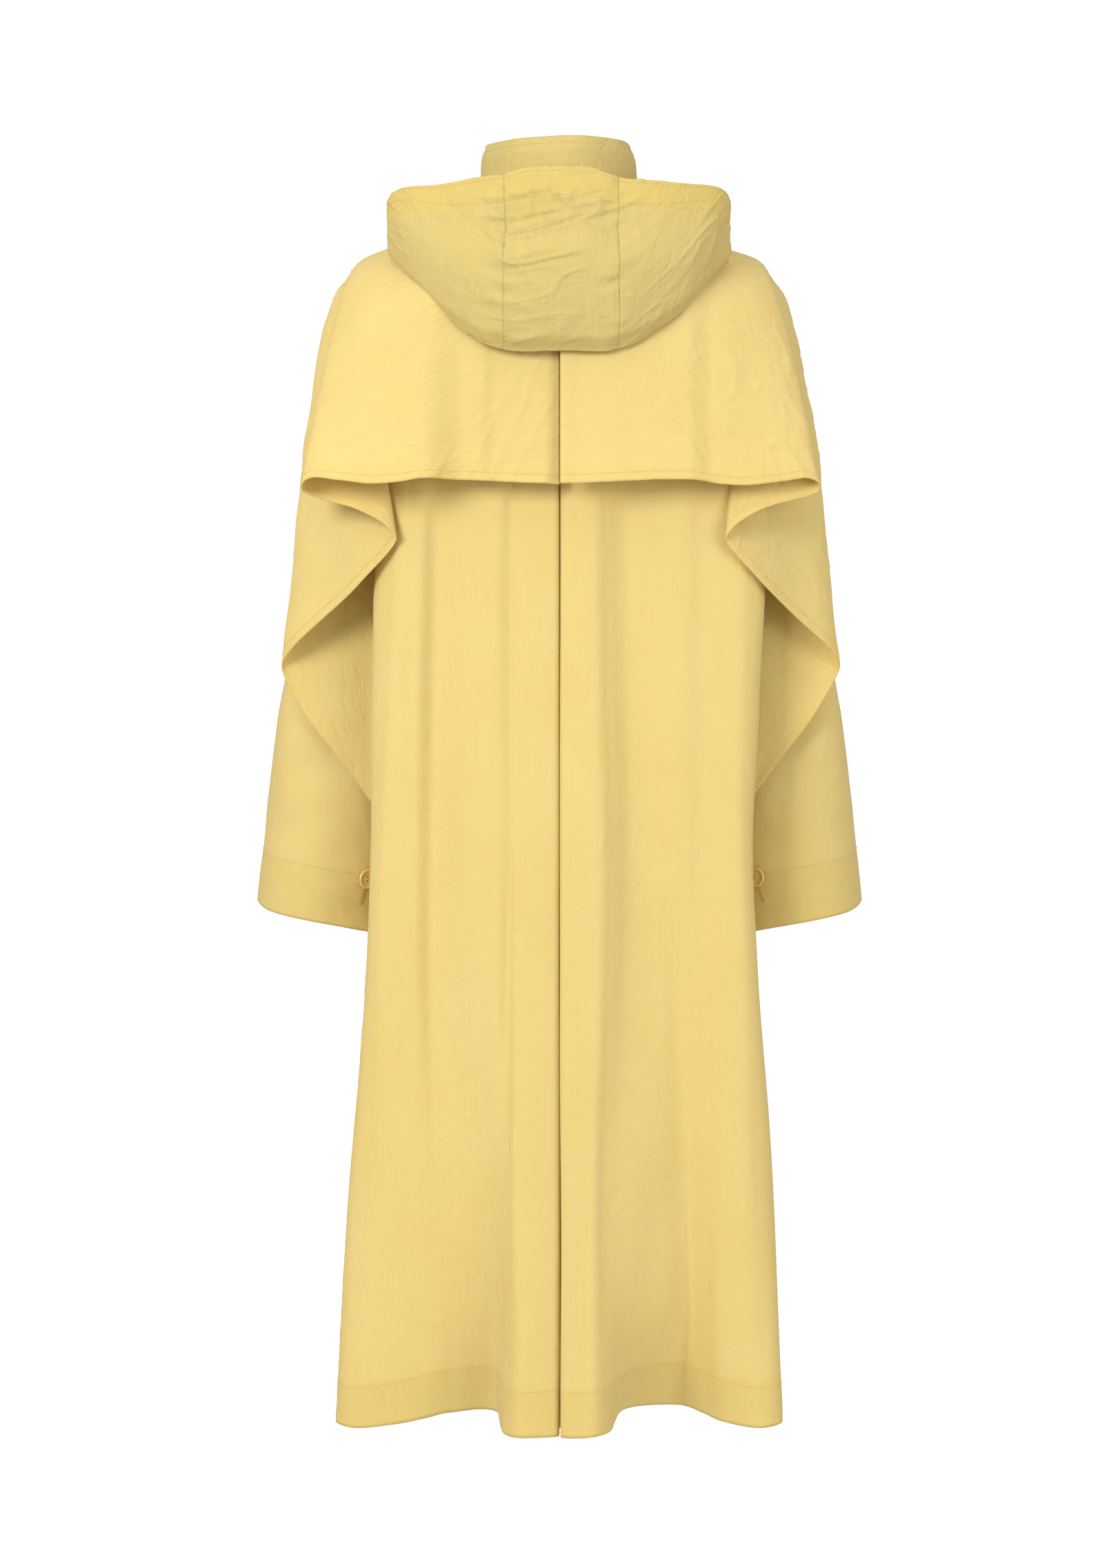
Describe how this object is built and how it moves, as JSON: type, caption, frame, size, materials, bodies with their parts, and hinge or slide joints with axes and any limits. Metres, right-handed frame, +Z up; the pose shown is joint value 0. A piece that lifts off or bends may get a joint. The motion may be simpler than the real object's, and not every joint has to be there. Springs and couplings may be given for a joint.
{
  "type": "hooded raincoat with a caped back",
  "caption": "Long hooded raincoat with a folded cape over the shoulders, a pleated back, wide sleeves with cuff buttons and a stand collar.",
  "frame": {"origin": "underside of the hanging loop inside the back of the neck, where a hook bears", "axes": "+Z up, +X towards the wearer's right, +Y towards the wearer's front"},
  "size_m": [0.578, 0.3556, 1.2492],
  "materials": {
    "shell_cloth": "crisp slubby yellow cotton and linen cloth",
    "hood_cloth": "the same cloth, doubled and a little duller",
    "inner_cloth": "the wrong side and the facings of the same cloth",
    "button": "satin dyed-to-match four-hole button",
    "press_stud": "dull nickel press stud"
  },
  "bodies": {
    "shell": {"back_left_panel": "shell_cloth", "back_right_panel": "shell_cloth", "hem_facing_left": "inner_cloth", "hem_facing_right": "inner_cloth", "side_front_left": "shell_cloth", "side_front_right": "shell_cloth", "pleat_underlay": "inner_cloth", "yoke_back": "shell_cloth", "yoke_front_left": "shell_cloth", "yoke_front_right": "shell_cloth", "neck_facing": "inner_cloth", "collar_outer": "hood_cloth", "collar_lining": "inner_cloth", "hang_loop": "inner_cloth", "cape_back_left": "shell_cloth", "cape_back_right": "shell_cloth"},
    "hood": {"hood_centre_panel": "hood_cloth", "hood_left_panel": "hood_cloth", "hood_right_panel": "hood_cloth", "hood_inner_panel": "inner_cloth"},
    "front_left": {"front_left_panel": "shell_cloth", "front_left_facing": "inner_cloth", "press_stud_1": "press_stud", "press_stud_2": "press_stud", "press_stud_3": "press_stud", "press_stud_4": "press_stud"},
    "sleeve_left": {"sleeve_outer_left": "shell_cloth", "sleeve_under_left": "shell_cloth", "cuff_facing_left": "inner_cloth", "cape_drape_left": "shell_cloth", "cuff_buttonhole_left": "inner_cloth"},
    "cuff_button_left": {"cuff_button_left": "button"},
    "front_right": {"front_right_panel": "shell_cloth", "front_right_facing": "inner_cloth", "press_socket_1": "press_stud", "press_socket_2": "press_stud", "press_socket_3": "press_stud", "press_socket_4": "press_stud"},
    "sleeve_right": {"sleeve_outer_right": "shell_cloth", "sleeve_under_right": "shell_cloth", "cuff_facing_right": "inner_cloth", "cape_drape_right": "shell_cloth", "cuff_buttonhole_right": "inner_cloth"},
    "cuff_button_right": {"cuff_button_right": "button"}
  },
  "joints": [
    {"name": "hood_lift", "type": "hinge", "parent": "shell", "child": "hood", "pos_m": [0, -0.0107, 0.012], "axis": [-1, 0, 0], "range_deg": [0, 50]},
    {"name": "sleeve_left_raise", "type": "hinge", "parent": "shell", "child": "sleeve_left", "pos_m": [-0.168, 0.0863, -0.039], "axis": [0, 1, 0], "range_deg": [0, 70]},
    {"name": "sleeve_right_raise", "type": "hinge", "parent": "shell", "child": "sleeve_right", "pos_m": [0.168, 0.0863, -0.039], "axis": [0, -1, 0], "range_deg": [0, 70]},
    {"name": "front_right_open", "type": "hinge", "parent": "shell", "child": "front_right", "pos_m": [0.1218, 0.2207, -1.175], "axis": [0.0197, 0.0489, -0.9986], "range_deg": [0, 70]},
    {"name": "front_left_open", "type": "hinge", "parent": "shell", "child": "front_left", "pos_m": [-0.1218, 0.2207, -1.175], "axis": [0.0197, -0.0489, 0.9986], "range_deg": [0, 60]},
    {"name": "cuff_button_left_turn", "type": "hinge", "parent": "sleeve_left", "child": "cuff_button_left", "pos_m": [-0.18498, 0.06107, -0.63903], "axis": [0.5803, -0.8142, -0.0197], "range_deg": [-25, 25]},
    {"name": "cuff_button_right_turn", "type": "hinge", "parent": "sleeve_right", "child": "cuff_button_right", "pos_m": [0.18498, 0.06107, -0.63903], "axis": [-0.5803, -0.8142, -0.0197], "range_deg": [-25, 25]}
  ],
  "couplings": [
    {"joint": "front_left_open", "follows": "front_right_open", "ratio": 0.85}
  ]
}
